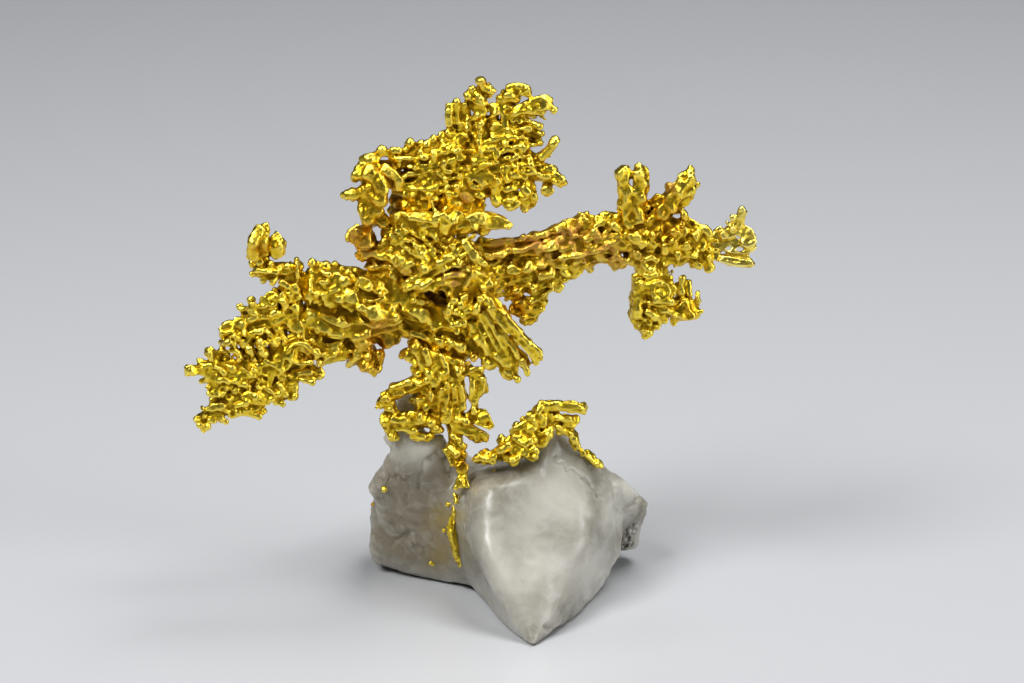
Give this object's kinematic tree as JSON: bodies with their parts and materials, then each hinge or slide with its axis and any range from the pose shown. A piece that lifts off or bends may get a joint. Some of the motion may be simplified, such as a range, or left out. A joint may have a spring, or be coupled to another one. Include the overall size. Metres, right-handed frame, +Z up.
{
  "type": "gold nugget",
  "caption": "Branching crystallised gold, leafy and fingered, grown on a lump of milky quartz that it stands on.",
  "frame": {"origin": "below the middle of the specimen's box, on the surface that it stands on", "axes": "+Z up, +X to the right as the picture shows it, +Y away from the viewer"},
  "size_m": [0.0696, 0.0304, 0.0664],
  "materials": {
    "gold": "polished",
    "milky_quartz": "satin"
  },
  "bodies": {
    "root": {"quartz_matrix": "milky_quartz", "gold_left_wing": "gold", "gold_hook": "gold", "gold_fan": "gold", "gold_core": "gold", "gold_arm": "gold", "gold_drop": "gold", "gold_plate": "gold", "gold_stem": "gold", "gold_crest": "gold", "gold_seam": "gold"}
  },
  "joints": []
}
